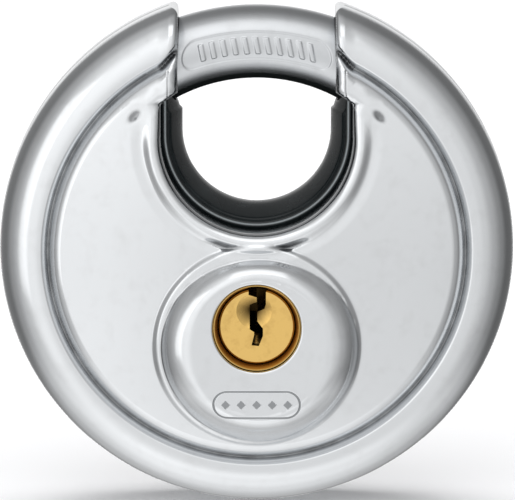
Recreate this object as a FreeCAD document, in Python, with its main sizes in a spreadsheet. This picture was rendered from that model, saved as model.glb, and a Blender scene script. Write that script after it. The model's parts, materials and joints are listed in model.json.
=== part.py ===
import FreeCAD, Part
import math
import os
import re
import Sketcher
from FreeCAD import Placement, Rotation, Vector

# Disc padlock: a round stamped housing with a bar that swings through its rim.
# Millimetres. +X to the right as seen from the keyway side, +Y to the back, +Z up.
# Every piece is drawn about the middle of the disc, and then set down by the radius
# of the shackle's arc, which puts the origin in the middle of the bar at its top.

DIMENSIONS = {
    "disc_radius": 35.0,
    "ring_radius": 28.0,
    "bar_radius": 5.0,
    "bar_gap": 0.3,
    "wall": 1.5,
    "rim_side": 2.0,
    "rim_roll": 5.6,
    "crest_radius": 30.4,
    "crest_depth": 8.0,
    "groove_radius": 28.4,
    "groove_depth": 7.4,
    "shoulder_radius": 27.0,
    "shoulder_depth": 8.7,
    "front_depth": 11.4,
    "rear_depth": 12.8,
    "rear_flat": 13.0,
    "rear_curve": 30.0,
    "boss_down": 12.7,
    "boss_radius": 12.3,
    "boss_depth": 14.0,
    "boss_round": 2.6,
    "boss_foot": 0.7,
    "arch_up": 16.1,
    "lip_radius": 13.0,
    "lip_wall": 1.3,
    "lip_depth": 6.4,
    "lip_round": 1.1,
    "slant_up": 20.4,
    "collar_half": 10.7,
    "collar_up": 22.0,
    "liner_inner": 10.1,
    "liner_bevel": 11.8,
    "liner_curve": 10.07,
    "liner_edge": 12.3,
    "liner_back": 12.6,
    "liner_tuck": 14.0,
    "liner_depth": 6.2,
    "liner_flange": 1.4,
    "liner_leg": 4.2,
    "core_radius": 22.7,
    "core_front": 7.6,
    "core_rear": 4.0,
    "core_recess": 14.8,
    "plug_down": 9.3,
    "plug_radius": 5.1,
    "plug_front": 12.0,
    "bore_radius": 5.15,
    "barrel_radius": 7.0,
    "barrel_front": 12.4,
    "barrel_rear": 4.0,
    "nose_radius": 5.85,
    "nose_front": 13.3,
    "nose_hole": 5.95,
    "mouth_radius": 5.7,
    "mouth_depth": 1.8,
    "lead_in_radius": 2.4,
    "lead_in_depth": 1.2,
    "lead_in_up": 2.1,
    "lead_in_left": 0.35,
    "bible_half": 4.0,
    "bible_front": 10.3,
    "bible_down": 20.9,
    "cover_thick": 0.8,
    "pocket_gap": 0.1,
    "plate_radius": 11.0,
    "plate_front": 10.6,
    "plate_thick": 1.4,
    "pin_radius": 1.3,
    "chamber_radius": 1.35,
    "pin_pitch": 2.75,
    "first_pin": 8.6,
    "shear_gap": 0.05,
    "driver_length": 3.4,
    "wire_radius": 0.17,
    "coil_radius": 1.05,
    "coil_turns": 4.0,
    "tail_radius": 2.5,
    "tail_flat": 1.9,
    "tail_front": 4.1,
    "tail_rear": 9.2,
    "crank_front": 6.5,
    "crank_rear": 8.2,
    "crank_radius": 6.65,
    "crank_pin": 1.5,
    "crank_hub": 4.0,
    "crank_angle": 75.0,
    "crank_wall": 1.2,
    "pin_head": 0.8,
    "clip_thick": 0.6,
    "clip_radius": 3.8,
    "clip_groove": 2.0,
    "fork_front": 4.4,
    "fork_rear": 6.2,
    "fork_half": 4.2,
    "fork_slot": 1.75,
    "fork_start": 12.2,
    "slot_end": 18.0,
    "fork_end": 27.2,
    "fork_angle": 30.0,
    "rivet_radius": 1.25,
    "rivet_ring": 25.6,
    "rivet_step": 2.6,
    "rivet_front": 1.6,
    "free_angle": 36.5,
    "bar_sweep": 236.5,
    "end_round": 1.5,
    "stamp_depth": 0.5,
    "stamp_half": 1.9,
    "stamp_angle": 20.5,
    "screw_radius": 1.5,
    "screw_head": 2.7,
    "screw_front": 5.6,
}

PIN_COUNT = 5
KEY_PIN_LENGTHS = [3.3, 2.7, 3.6, 3.0, 3.3]
SCREW_PLACES = [(-18.0, 4.0), (18.0, 4.0), (-12.0, -14.5), (12.0, -14.5)]
TO_BACK = Rotation(Vector(1, 0, 0), -90)
UP_FIRST = Rotation(Vector(1, 1, 1), -120)

doc = FreeCAD.newDocument("disc_padlock")
sheet = doc.addObject("Spreadsheet::Sheet", "dims")
for row, (alias, number) in enumerate(DIMENSIONS.items(), start=1):
    sheet.set(f"A{row}", alias)
    sheet.set(f"B{row}", str(number))
    sheet.setAlias(f"B{row}", alias)
doc.recompute()

nodes = []


# ---------------------------------------------------------------- helpers

def formula(text):
    """A formula of sheet names, written the way the document reads it."""
    return re.sub(r"[a-z_]+", lambda word: qualified(word.group()), str(text))


def qualified(word):
    """A dimension's name with its sheet in front, and any other word as it is."""
    return f"dims.{word}" if word in DIMENSIONS else word


def value(text):
    """The number that a formula comes to."""
    return float(sheet.evalExpression(formula(text)))


def bind(item, **sizes):
    """Tie properties of an object to formulas."""
    for name, text in sizes.items():
        item.setExpression(name, formula(text))


def place(item, x=0, y=0, z=0, turn=None):
    """Tie an object's position to formulas, after turning it."""
    if turn is not None:
        item.Placement = Placement(Vector(), turn)
    for name, text in (("x", x), ("y", y), ("z", z)):
        item.setExpression(f"Placement.Base.{name}", formula(text))


def node(item, label, x=0, y=0, z=0, turn=None):
    """Name a finished piece and set it down from the middle of the disc."""
    item.Label = label
    place(item, x, y, f"{z} - ring_radius", turn)
    nodes.append(item)
    return item


def rod(name, radius, length, x=0, y=0, z=0):
    """A round rod that runs from y towards the back."""
    item = doc.addObject("Part::Cylinder", name)
    bind(item, Radius=radius, Height=length)
    place(item, x, y, z, TO_BACK)
    return item


def post(name, radius, length, x=0, y=0, z=0):
    """A round rod that runs from z upwards."""
    item = doc.addObject("Part::Cylinder", name)
    bind(item, Radius=radius, Height=length)
    place(item, x, y, z)
    return item


def block(name, width, depth, height, x=0, y=0, z=0):
    """A box from its lowest corner."""
    item = doc.addObject("Part::Box", name)
    bind(item, Length=width, Width=depth, Height=height)
    place(item, x, y, z)
    return item


def cut(name, base, *tools):
    """The base without the tools."""
    tool = tools[0] if len(tools) == 1 else fuse(f"{name}_tools", *tools)
    item = doc.addObject("Part::Cut", name)
    item.Base = base
    item.Tool = tool
    return item


def fuse(name, *pieces):
    """Several solids as one."""
    item = doc.addObject("Part::MultiFuse", name)
    item.Shapes = list(pieces)
    return item


def new_body(name):
    return doc.addObject("PartDesign::Body", name)


def origin_plane(body, role):
    return next(item for item in body.Origin.OriginFeatures if item.Role == role)


def arc_between(start, end, radius):
    """An arc of a signed radius: positive turns left from start to end."""
    chord = end - start
    reach = max(radius * radius - chord.Length ** 2 / 4, 0.0)
    side = Vector(-chord.y, chord.x, 0).normalize() * math.copysign(1, radius)
    centre = (start + end) / 2 + side * math.sqrt(reach)
    ends = (start, end) if radius > 0 else (end, start)
    angles = [math.atan2(point.y - centre.y, point.x - centre.x) for point in ends]
    if angles[1] <= angles[0]:
        angles[1] += 2 * math.pi
    circle = Part.Circle(centre, Vector(0, 0, 1), abs(radius))
    return Part.ArcOfCircle(circle, angles[0], angles[1])


def outline(body, role, name, steps):
    """A closed sketch. A step (x, y) is a line to there, and (x, y, radius) an arc."""
    sketch = body.newObject("Sketcher::SketchObject", name)
    sketch.AttachmentSupport = (origin_plane(body, role), "")
    sketch.MapMode = "FlatFace"
    corners = [Vector(value(step[0]), value(step[1]), 0) for step in steps]
    ends = []
    for index, step in enumerate(steps):
        start, end = corners[index - 1], corners[index]
        if len(step) == 2:
            sketch.addGeometry(Part.LineSegment(start, end), False)
            ends.append((1, 2))
            continue
        radius = value(step[2])
        sketch.addGeometry(arc_between(start, end, radius), False)
        ends.append((1, 2) if radius > 0 else (2, 1))
    for index, step in enumerate(steps):
        following = (index + 1) % len(steps)
        joined = (index, ends[index][1], following, ends[following][0])
        sketch.addConstraint(Sketcher.Constraint("Coincident", *joined))
        for kind, number, text in (("DistanceX", corners[index].x, step[0]),
                                   ("DistanceY", corners[index].y, step[1])):
            tie(sketch, text, kind, -1, 1, index, ends[index][1], number)
        if len(step) == 3:
            tie_arc(sketch, index, step, corners[index - 1], corners[index])
    return sketch


def tie_arc(sketch, index, step, start, end):
    """Hold an arc by its radius, a level half circle or a dome by its centre."""
    radius = value(step[2])
    if abs(end.x) < 0.001:
        tie(sketch, 0, "DistanceX", -1, 1, index, 3, 0)
        return
    if abs((end - start).Length - 2 * abs(radius)) < 0.001:
        tie(sketch, step[1], "DistanceY", -1, 1, index, 3, end.y)
        return
    text = step[2] if radius > 0 else f"-({step[2]})"
    tie(sketch, text, "Radius", index, abs(radius))


def tie(sketch, text, *limit):
    """Add a dimension to a sketch and bind it to a formula."""
    number = sketch.addConstraint(Sketcher.Constraint(*limit))
    sketch.setExpression(f"Constraints[{number}]", formula(text))


def round_outline(body, role, name, x, y, radius):
    """A sketch of one circle."""
    sketch = body.newObject("Sketcher::SketchObject", name)
    sketch.AttachmentSupport = (origin_plane(body, role), "")
    sketch.MapMode = "FlatFace"
    centre = Vector(value(x), value(y), 0)
    sketch.addGeometry(Part.Circle(centre, Vector(0, 0, 1), value(radius)), False)
    tie(sketch, radius, "Radius", 0, value(radius))
    tie(sketch, x, "DistanceX", -1, 1, 0, 3, centre.x)
    tie(sketch, y, "DistanceY", -1, 1, 0, 3, centre.y)
    return sketch


def spin(body, sketch, angle=360):
    """Turn a sketch about its own vertical axis."""
    feature = body.newObject("PartDesign::Revolution", f"{sketch.Name}_turn")
    feature.Profile = sketch
    feature.ReferenceAxis = (sketch, ["V_Axis"])
    feature.Angle = angle
    return feature


def pad(body, sketch, length, reverse=False):
    """Raise a sketch along its plane's normal, or against it."""
    feature = body.newObject("PartDesign::Pad", f"{sketch.Name}_pad")
    feature.Profile = sketch
    bind(feature, Length=length)
    feature.Reversed = reverse
    return feature


def pocket(body, sketch, length, reverse=False):
    """Cut a sketch into the body, and make sure that something was cut."""
    doc.recompute()
    before = body.Shape.Volume
    feature = body.newObject("PartDesign::Pocket", f"{sketch.Name}_cut")
    feature.Profile = sketch
    bind(feature, Length=length)
    feature.Reversed = reverse
    doc.recompute()
    if body.Shape.Volume > before - 0.01:
        raise RuntimeError(f"{feature.Name} cuts nothing")
    return feature


def soften(body, base, radius, wanted, kind="Fillet"):
    """Round (or bevel) the edges of a feature that a test picks out."""
    doc.recompute()
    edges = base.Shape.Edges
    names = [f"Edge{index}" for index, edge in enumerate(edges, start=1) if wanted(edge)]
    if not names:
        raise RuntimeError(f"{base.Name} has no edge to soften")
    feature = body.newObject(f"PartDesign::{kind}", f"{base.Name}_{kind.lower()}")
    feature.Base = (base, names)
    bind(feature, **{"Radius" if kind == "Fillet" else "Size": radius})
    return feature


def turned(name, steps):
    """A piece turned on a lathe, along its own z axis."""
    body = new_body(name)
    spin(body, outline(body, "XZ_Plane", f"{name}_profile", steps))
    return body


def ring_path(name, minor, sweep=360, start=0):
    """A round bar bent about the middle of the disc, clockwise from an azimuth."""
    item = doc.addObject("Part::Torus", name)
    bind(item, Radius1="ring_radius", Radius2=minor, Angle3=sweep)
    item.Placement = Placement(Vector(), Rotation(Vector(0, 1, 0), start) * UP_FIRST)
    return item


# ---------------------------------------------------------------- housing

def dome_steps(side, inset):
    """Half of the housing's section, its outside (inset 0) or its hollow."""
    front = side < 0
    depth = "front_depth" if front else "rear_depth"
    crest = f"{side} * (crest_depth - {inset})"
    start = [
        (0, 0),
        (f"disc_radius - {inset}", 0),
        (f"disc_radius - {inset}", f"{side} * rim_side"),
        (f"crest_radius - {inset} * 0.3", crest, f"{side} * (rim_roll - {inset})"),
        (f"groove_radius + {inset} * 0.2", f"{side} * (groove_depth - {inset})"),
        (f"shoulder_radius - {inset} * 0.3", f"{side} * (shoulder_depth - {inset})"),
    ]
    if front:
        reach = f"(shoulder_radius - {inset} * 0.3)"
        drop = "(front_depth - shoulder_depth)"
        dome = f"({reach} * {reach} + {drop} * {drop}) / (2 * {drop})"
        top = [(0, f"{side} * ({depth} - {inset})", f"{side} * {dome}")]
    else:
        top = [
            ("rear_flat", f"{side} * ({depth} - {inset})", f"{side} * (rear_curve - {inset})"),
            (0, f"{side} * ({depth} - {inset})"),
        ]
    return start + top


def opening_steps(grow):
    """The outline of the gap for the hasp, open at the top, grown by a margin."""
    half = f"collar_half + {grow}"
    wide = f"lip_radius + {grow}"
    return [
        (f"-({half})", "disc_radius + 5"),
        (f"-({half})", f"collar_up - {grow}"),
        (f"-({wide})", f"slant_up - {grow}"),
        (f"-({wide})", "arch_up"),
        (wide, "arch_up", wide),
        (wide, f"slant_up - {grow}"),
        (half, f"collar_up - {grow}"),
        (half, "disc_radius + 5"),
    ]


def on_opening(edge):
    """True for an edge on the outside that runs along the gap for the hasp."""
    if edge.Degenerated:
        return False
    middle = edge.valueAt((edge.FirstParameter + edge.LastParameter) / 2)
    near_arch = abs(math.hypot(middle.x, middle.z - value("arch_up")) - value("lip_radius"))
    return near_arch < 0.05 and middle.z < value("arch_up") and abs(middle.y) > 5


def shell_blank(name, side):
    """The solid outside of one half of the housing, with the gap for the hasp."""
    body = new_body(name)
    dome = spin(body, outline(body, "XY_Plane", f"{name}_section", dome_steps(side, 0)))
    if side < 0:
        disc = round_outline(body, "XZ_Plane", "boss", 0, "-boss_down", "boss_radius")
        raised = pad(body, disc, "boss_depth")
        top = soften(body, raised, "boss_round",
                     lambda edge: abs(edge.BoundBox.YMin + value("boss_depth")) < 0.01
                     and edge.BoundBox.YLength < 0.01)
        soften(body, top, "boss_foot",
               lambda edge: abs(edge.BoundBox.XLength - 2 * value("boss_radius")) < 0.1
               and edge.BoundBox.YLength > 0.5)
    sketch = outline(body, "XZ_Plane", f"{name}_gap", opening_steps(0))
    gap = pocket(body, sketch, "rear_depth + 5", reverse=side < 0)
    soften(body, gap, "lip_round", on_opening)
    return body


def shell_hollow(name, side):
    """The hollow of one half of the housing, kept off the rolled edge of the gap."""
    body = new_body(f"{name}_space")
    spin(body, outline(body, "XY_Plane", f"{name}_section", dome_steps(side, "wall")))
    if side < 0:
        disc = round_outline(body, "XZ_Plane", f"{name}_boss", 0, "-boss_down",
                             "boss_radius - wall")
        pad(body, disc, "boss_depth - wall")
    edge_wall = new_body(f"{name}_edge")
    sketch = outline(edge_wall, "XZ_Plane", f"{name}_rim", opening_steps("lip_wall"))
    pad(edge_wall, sketch, "rear_depth", reverse=side > 0)
    depth = "lip_depth"
    low = f"-{depth}" if side < 0 else "0"
    clear_low = block(f"{name}_liner_room", "2 * core_radius", depth, "2 * collar_up",
                      "-core_radius", low, "-collar_up")
    return cut(name, body, cut(f"{name}_island", edge_wall, clear_low))


def front_shell():
    blank = shell_blank("front_blank", -1)
    hollow = shell_hollow("front_hollow", -1)
    hole = rod("nose_opening", "nose_hole", 8, 0, "-boss_depth - 1", "-plug_down")
    channel = ring_path("front_channel", "bar_radius + bar_gap")
    return node(cut("front_stamping", blank, hollow, hole, channel), "front_shell")


def rear_shell():
    blank = shell_blank("rear_blank", 1)
    hollow = shell_hollow("rear_hollow", 1)
    channel = ring_path("rear_channel", "bar_radius + bar_gap")
    return node(cut("rear_stamping", blank, hollow, channel), "rear_shell")


def liner_steps(side):
    """The section of the black liner, an arched strip with two tucked edges."""
    return [
        (f"{side} * liner_bevel", "-liner_depth + 0.6", f"{side} * liner_curve"),
        (f"{side} * liner_edge", "-liner_depth"),
        (f"{side} * liner_tuck", "-liner_depth"),
        (f"{side} * liner_tuck", "-liner_depth + liner_flange"),
        (f"{side} * liner_back", "-liner_depth + liner_flange"),
        (f"{side} * liner_back", "liner_depth - liner_flange"),
        (f"{side} * liner_tuck", "liner_depth - liner_flange"),
        (f"{side} * liner_tuck", "liner_depth"),
        (f"{side} * liner_edge", "liner_depth"),
        (f"{side} * liner_bevel", "liner_depth - 0.6"),
        (f"{side} * liner_inner", 0, f"{side} * liner_curve"),
    ]


def opening_liner():
    body = new_body("liner_strip")
    spin(body, outline(body, "XY_Plane", "liner_bend", liner_steps(1)), 180)
    for name, side in (("right_leg", 1), ("left_leg", -1)):
        pad(body, outline(body, "XY_Plane", name, liner_steps(side)), "liner_leg")
    place(body, 0, 0, "arch_up")
    channel = ring_path("liner_channel", "bar_radius + bar_gap")
    return node(cut("liner_trim", body, channel), "opening_liner")


# ---------------------------------------------------------------- inner castings

def core(name, label, front, thick):
    """One of the two castings that guide the bar and hold the cylinder."""
    disc = rod(f"{name}_disc", "core_radius", thick, 0, front)
    recess = rod(f"{name}_recess", "core_recess", f"{thick} + 2", 0, f"{front} - 1", "arch_up")
    above = block(f"{name}_above", "2 * core_recess", f"{thick} + 2", "core_radius",
                  "-core_recess", f"{front} - 1", "arch_up")
    barrel = rod(f"{name}_barrel", "barrel_radius + pocket_gap", f"{thick} + 2",
                 0, f"{front} - 1", "-plug_down")
    bible = block(f"{name}_bible", "2 * (bible_half + pocket_gap)", f"{thick} + 2",
                  "core_radius", "-bible_half - pocket_gap", f"{front} - 1",
                  "-core_radius - plug_down")
    holes = [
        rod(f"{name}_hole_{index}", "screw_radius", f"{thick} + 2", x, f"{front} - 1", z)
        for index, (x, z) in enumerate(SCREW_PLACES, start=1)
    ]
    if name == "rear_core":
        for index, (x, z) in enumerate(SCREW_PLACES, start=1):
            seat = doc.addObject("Part::Cone", f"{name}_seat_{index}")
            bind(seat, Radius1="screw_radius", Radius2="screw_head",
                 Height="screw_head - screw_radius")
            place(seat, x, "core_rear - screw_head + screw_radius", z, TO_BACK)
            holes.append(seat)
    return node(cut(name, disc, recess, above, barrel, bible, *holes), label)


def core_screw(index, x, z):
    """A countersunk screw, its flat head at the back."""
    steps = [
        (0, "-screw_front"),
        ("screw_radius", "-screw_front"),
        ("screw_radius", "core_rear - screw_head + screw_radius"),
        ("screw_head", "core_rear"),
        (0, "core_rear"),
    ]
    body = turned(f"screw_{index}", steps)
    return node(body, f"core_screw_{index}", x, 0, z, TO_BACK)


def anti_drill_plate():
    disc = rod("plate_disc", "plate_radius - 0.4", "plate_thick", 0, "-plate_front", "-boss_down")
    barrel = rod("plate_hole", "barrel_radius + pocket_gap", "plate_thick + 2",
                 0, "-plate_front - 1", "-plug_down")
    slot = block("plate_slot", "2 * (bible_half + pocket_gap)", "plate_thick + 2",
                 "plate_radius + 5", "-bible_half - pocket_gap", "-plate_front - 1",
                 "-plug_down - plate_radius - 5")
    return node(cut("plate", disc, barrel, slot), "anti_drill_plate")


# ---------------------------------------------------------------- cylinder

def pin_depth(index):
    """Where a pin stack stands, from the front one to the rear one."""
    return f"-first_pin + {index} * pin_pitch"


def cylinder_body():
    barrel = rod("barrel", "barrel_radius", "barrel_front + barrel_rear",
                 0, "-barrel_front", "-plug_down")
    nose = rod("nose", "nose_radius", "nose_front", 0, "-nose_front", "-plug_down")
    bible = block("bible", "2 * bible_half", "bible_front + barrel_rear",
                  "bible_down - plug_down", "-bible_half", "-bible_front", "-bible_down")
    bore = rod("bore", "bore_radius", "nose_front + barrel_rear + 2",
               0, "-nose_front - 1", "-plug_down")
    chambers = [
        post(f"chamber_{index}", "chamber_radius", "bible_down - plug_down + 1",
             0, pin_depth(index), "-bible_down - 1")
        for index in range(PIN_COUNT)
    ]
    mouth = doc.addObject("Part::Cone", "bore_mouth")
    bind(mouth, Radius1="mouth_radius", Radius2="bore_radius", Height="mouth_depth")
    place(mouth, 0, "-nose_front", "-plug_down", TO_BACK)
    solid = fuse("cylinder_blank", barrel, nose, bible)
    return node(cut("cylinder", solid, bore, mouth, *chambers), "cylinder_body")


def chamber_cover():
    sheet_piece = block("cover_sheet", "2 * bible_half", "bible_front + barrel_rear",
                        "cover_thick", "-bible_half", "-bible_front", "-cover_thick")
    return node(sheet_piece, "chamber_cover", "-bible_half", "-bible_front",
                "-bible_down - cover_thick")


def plug():
    """The turning core: a face with a conical lead-in, a keyway and a driving tail."""
    blank = turned("plug_blank", [
        (0, "-plug_front"),
        ("plug_radius - 0.2", "-plug_front"),
        ("plug_radius", "-plug_front + 0.2"),
        ("plug_radius", "tail_front"),
        ("tail_radius", "tail_front"),
        ("tail_radius", "tail_rear"),
        (0, "tail_rear"),
    ])
    place(blank, 0, 0, "-plug_down", TO_BACK)
    keyway_body = new_body("keyway")
    pocket_shape = outline(keyway_body, "XZ_Plane", "keyway_outline", [
        (-1.1, "plug_radius + 1"),
        (-1.1, 4.3),
        (0.0, 3.9),
        (0.0, 3.2),
        (-0.95, 2.8),
        (-0.95, -0.4),
        (-0.35, -0.8),
        (-0.35, -1.2),
        (-0.7, -2.6),
        (0.3, -2.7),
        (0.85, -1.3),
        (0.85, -0.3),
        (0.1, 0.6),
        (0.1, 1.8),
        (1.05, 2.3),
        (1.25, 3.0),
        (1.25, 4.7),
        (1.5, 5.0),
        (1.5, "plug_radius + 1"),
    ])
    pad(keyway_body, pocket_shape, "plug_front + 1")
    place(keyway_body, 0, "barrel_rear - 4", "-plug_down")
    dimple = doc.addObject("Part::Cone", "key_lead_in")
    bind(dimple, Radius1="lead_in_radius", Radius2="lead_in_radius / 6", Height="lead_in_depth")
    place(dimple, "-lead_in_left", "-plug_front", "-plug_down + lead_in_up", TO_BACK)
    chambers = [
        post(f"plug_chamber_{index}", "chamber_radius", "plug_radius + 1",
             0, pin_depth(index), "-plug_down - plug_radius - 1")
        for index in range(PIN_COUNT)
    ]
    flat = block("tail_side", "2 * tail_radius", "tail_rear", "tail_radius",
                 "-tail_radius", "tail_front", "-plug_down + tail_flat")
    groove_outer = rod("clip_groove_outer", "tail_radius + 1", "clip_thick",
                       0, "crank_rear", "-plug_down")
    groove_inner = rod("clip_groove_inner", "clip_groove", "clip_thick",
                       0, "crank_rear", "-plug_down")
    groove = cut("clip_seat", groove_outer, groove_inner)
    pieces = (keyway_body, dimple, flat, groove, *chambers)
    return node(cut("plug_core", blank, *pieces), "plug")


def crank():
    """The arm on the plug's tail. At rest it points to the right, a little downwards."""
    thick = "crank_rear - crank_front"
    hub = rod("crank_boss", "crank_hub", thick, 0, "crank_front", 0)
    tip = rod("crank_tip", "crank_pin + crank_wall", thick, 0, "crank_front", "-crank_radius")
    arm = block("crank_arm", "2 * (crank_pin + crank_wall) - 0.4", thick, "crank_radius",
                "-crank_pin - crank_wall + 0.2", "crank_front", "-crank_radius")
    eye = rod("crank_eye", "crank_pin", f"{thick} + 2", 0, "crank_front - 1", "-crank_radius")
    plate = cut("crank_plate", fuse("crank_blank", hub, tip, arm), eye)
    place(plate, 0, 0, "-plug_down", Rotation(Vector(0, 1, 0), -value("crank_angle")))
    shaft = rod("crank_shaft", "tail_radius", f"{thick} + 2", 0, "crank_front - 1", "-plug_down")
    side = block("crank_side", "2 * tail_radius", f"{thick} + 4", "tail_radius",
                 "-tail_radius", "crank_front - 2", "-plug_down + tail_flat")
    return node(cut("crank_part", plate, cut("crank_bore", shaft, side)), "crank")


def crank_pin():
    """The headed pin that runs in the fork."""
    body = turned("drive_pin", [
        (0, "fork_front + 0.3"),
        ("crank_pin - 0.2", "fork_front + 0.3"),
        ("crank_pin", "fork_front + 0.5"),
        ("crank_pin", "crank_rear"),
        ("crank_pin + pin_head", "crank_rear"),
        ("crank_pin + pin_head", "crank_rear + 0.5"),
        (0, "crank_rear + 0.5"),
    ])
    x = "crank_radius * sin(crank_angle)"
    z = "-plug_down - crank_radius * cos(crank_angle)"
    return node(body, "crank_pin", x, 0, z, TO_BACK)


def plug_clip():
    """The open ring that keeps the crank on the tail."""
    ring = rod("clip_ring", "clip_radius", "clip_thick", 0, "crank_rear", "-plug_down")
    eye = rod("clip_eye", "clip_groove", "clip_thick + 2", 0, "crank_rear - 1", "-plug_down")
    mouth = block("clip_mouth", "2 * clip_groove * 0.8", "clip_thick + 2", "clip_radius + 1",
                  "-clip_groove * 0.8", "crank_rear - 1", "-plug_down - clip_radius - 1")
    return node(cut("clip", ring, eye, mouth), "plug_clip")


def key_pin(index, length):
    """A brass pin in the plug, pointed where it meets the key."""
    body = turned(f"key_stack_{index + 1}", [
        (0, 0),
        ("pin_radius - 0.3", 0),
        ("pin_radius", 0.2),
        ("pin_radius", length - 0.9),
        (0.5, length),
        (0, length),
    ])
    return node(body, f"key_pin_{index + 1}", 0, pin_depth(index),
                "-plug_down - plug_radius + 3 * shear_gap")


def driver_pin(index):
    """A steel pin that the spring pushes up to the plug."""
    body = turned(f"driver_stack_{index + 1}", [
        (0, 0),
        ("pin_radius - 0.2", 0),
        ("pin_radius", 0.2),
        ("pin_radius", "driver_length - 0.3"),
        ("pin_radius - 0.3", "driver_length"),
        (0, "driver_length"),
    ])
    return node(body, f"driver_pin_{index + 1}", 0, pin_depth(index),
                "-plug_down - bore_radius - shear_gap - driver_length")


def wire_section(centre, forward, sides=6):
    """The wire's outline across its path, as a flat-sided ring."""
    out = Vector(1, 0, 0)
    across = forward.cross(out).normalize()
    wire = value("wire_radius")
    corners = []
    for side in range(sides + 1):
        angle = 2 * math.pi * side / sides
        corners.append(centre + (out * math.cos(angle) + across * math.sin(angle)) * wire)
    return Part.makePolygon(corners)


def pin_spring(index, steps=16):
    """The coil spring under a driver pin, its wire bent in short straight steps."""
    room = "bible_down - plug_down - bore_radius - shear_gap - driver_length"
    rise = value(room) - 2 * value("wire_radius")
    radius, count = value("coil_radius"), int(value("coil_turns") * steps)
    points = []
    for step in range(count + 1):
        angle = 2 * math.pi * step / steps
        points.append(Vector(radius * math.cos(angle), radius * math.sin(angle),
                             rise * step / count))
    forward = (points[1] - points[0]).normalize()
    path = Part.Wire(Part.makePolygon(points).Edges)
    item = doc.addObject("Part::Feature", f"coil_{index + 1}")
    item.Shape = path.makePipeShell([wire_section(points[0], forward)], True, False, 1)
    return node(item, f"pin_spring_{index + 1}", 0, pin_depth(index),
                "-bible_down + wire_radius + shear_gap / 2")


# ---------------------------------------------------------------- shackle

def shackle():
    """The bar: a long arc, a shallow stamped panel in front, a flat for the fork."""
    bar = ring_path("bar", "bar_radius", "bar_sweep", -value("free_angle"))
    bind(bar, Angle3="bar_sweep")
    seat = new_body("fork_seat")
    pad(seat, outline(seat, "XZ_Plane", "fork_seat_outline", [
        ("-2 * fork_half", "-ring_radius - bar_radius - 2"),
        ("2 * fork_half", "-ring_radius - bar_radius - 2"),
        ("2 * fork_half", "-ring_radius + bar_radius + 2"),
        ("-2 * fork_half", "-ring_radius + bar_radius + 2"),
    ]), "bar_radius", reverse=True)
    place(seat, 0, "fork_front", 0, Rotation(Vector(0, 1, 0), -value("fork_angle")))
    stamp_start = -value("stamp_angle")
    panel_outer = doc.addObject("Part::Cylinder", "panel_outer")
    bind(panel_outer, Radius="ring_radius + stamp_half", Height=3, Angle="2 * stamp_angle")
    panel_inner = doc.addObject("Part::Cylinder", "panel_inner")
    bind(panel_inner, Radius="ring_radius - stamp_half", Height=5, Angle=360)
    panel = cut("stamp_panel", panel_outer, panel_inner)
    for piece, lift in ((panel_outer, 0), (panel_inner, -1)):
        piece.Placement = Placement(Vector(0, lift, 0),
                                    Rotation(Vector(0, 1, 0), stamp_start) * UP_FIRST)
    place(panel, 0, "-bar_radius + stamp_depth - 3", 0)
    rounds = []
    for name, azimuth in (("left_round", stamp_start), ("right_round", -stamp_start)):
        angle = math.radians(azimuth)
        rounds.append(rod(name, "stamp_half", 3,
                          f"ring_radius * {math.sin(angle)}",
                          "-bar_radius + stamp_depth - 3",
                          f"ring_radius * {math.cos(angle)}"))
    holes = [rivet_hole(index, side) for index, side in enumerate((-1, 1), start=1)]
    worked = cut("worked_bar", bar, seat, panel, *rounds, *holes)
    ends = doc.addObject("Part::Fillet", "rounded_bar")
    ends.Base = worked
    doc.recompute()
    radius = value("end_round")
    ends.Edges = [(index, radius, radius)
                  for index, edge in enumerate(worked.Shape.Edges, start=1)
                  if is_bar_end(edge)]
    return node(ends, "shackle")


def is_bar_end(edge):
    """True for the full circle at an end of the bar."""
    full = abs(edge.Length - 2 * math.pi * value("bar_radius")) < 0.01
    return isinstance(edge.Curve, Part.Circle) and full and abs(edge.CenterOfMass.y) < 0.01


def fork_point(side):
    """Where a rivet stands, on a line across the fork's foot."""
    angle = math.radians(180 - value("fork_angle"))
    across = Vector(math.cos(angle), 0, -math.sin(angle)) * side * value("rivet_step")
    out = Vector(math.sin(angle), 0, math.cos(angle)) * value("rivet_ring")
    return out + across


def rivet_hole(index, side):
    point = fork_point(side)
    return rod(f"rivet_hole_{index}", "rivet_radius", 20, point.x, "rivet_front", point.z)


def fork_plate():
    """The steel plate on the bar, with a slot for the crank's pin."""
    thick = "fork_rear - fork_front"
    body = new_body("fork_blank")
    sketch = outline(body, "XZ_Plane", "fork_outline", [
        ("-fork_half", "-fork_start - 0.8"),
        ("-fork_half", "-fork_end + 0.6"),
        ("-fork_half + 0.6", "-fork_end"),
        ("fork_half - 0.6", "-fork_end"),
        ("fork_half", "-fork_end + 0.6"),
        ("fork_half", "-fork_start - 0.8"),
        ("fork_half - 0.8", "-fork_start"),
        ("fork_slot", "-fork_start"),
        ("fork_slot", "-slot_end + fork_slot"),
        ("-fork_slot", "-slot_end + fork_slot", "-fork_slot"),
        ("-fork_slot", "-fork_start"),
        ("-fork_half + 0.8", "-fork_start"),
    ])
    pad(body, sketch, thick, reverse=True)
    place(body, 0, "fork_front", 0, Rotation(Vector(0, 1, 0), -value("fork_angle")))
    holes = []
    for index, side in enumerate((-1, 1), start=1):
        point = fork_point(side)
        holes.append(rod(f"fork_hole_{index}", "rivet_radius", 20,
                         point.x, "rivet_front", point.z))
    return node(cut("fork", body, *holes), "fork_plate")


def fork_rivet(index, side):
    point = fork_point(side)
    body = turned(f"rivet_{index}", [
        (0, "rivet_front"),
        ("rivet_radius - 0.2", "rivet_front"),
        ("rivet_radius", "rivet_front + 0.2"),
        ("rivet_radius", "fork_rear"),
        (0, "fork_rear"),
    ])
    return node(body, f"fork_rivet_{index}", point.x, 0, point.z, TO_BACK)


# ---------------------------------------------------------------- the whole lock

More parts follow.
